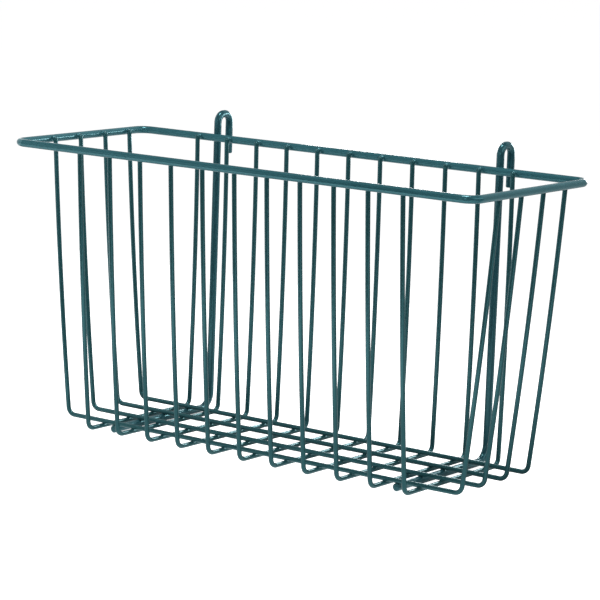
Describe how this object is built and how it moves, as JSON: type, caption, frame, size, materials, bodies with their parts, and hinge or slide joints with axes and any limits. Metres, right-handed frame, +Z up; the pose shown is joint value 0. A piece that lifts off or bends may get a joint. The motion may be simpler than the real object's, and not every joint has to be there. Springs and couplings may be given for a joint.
{
  "type": "wire basket",
  "caption": "Open rectangular basket of welded, epoxy-coated wire with a heavier rim, tapered walls and rear hook rods that hang it on a wire grid panel.",
  "frame": {"origin": "on the surface that the basket stands on, under the middle of its overall box", "axes": "+X along the width to the right seen from the front, +Y from the front to the hooks at the back, +Z up"},
  "size_m": [0.34, 0.1438, 0.1954],
  "materials": {
    "green_epoxy_coat": "semi-gloss dark green epoxy coat"
  },
  "bodies": {
    "root": {"top_rim": "green_epoxy_coat", "cross_wire_01": "green_epoxy_coat", "cross_wire_02": "green_epoxy_coat", "cross_wire_03": "green_epoxy_coat", "cross_wire_04": "green_epoxy_coat", "cross_wire_05": "green_epoxy_coat", "cross_wire_06": "green_epoxy_coat", "cross_wire_07": "green_epoxy_coat", "cross_wire_08": "green_epoxy_coat", "cross_wire_09": "green_epoxy_coat", "cross_wire_10": "green_epoxy_coat", "cross_wire_11": "green_epoxy_coat", "long_wire_1": "green_epoxy_coat", "long_wire_2": "green_epoxy_coat", "long_wire_3": "green_epoxy_coat", "long_wire_4": "green_epoxy_coat", "hook_rod_left": "green_epoxy_coat", "hook_rod_right": "green_epoxy_coat"}
  },
  "joints": []
}
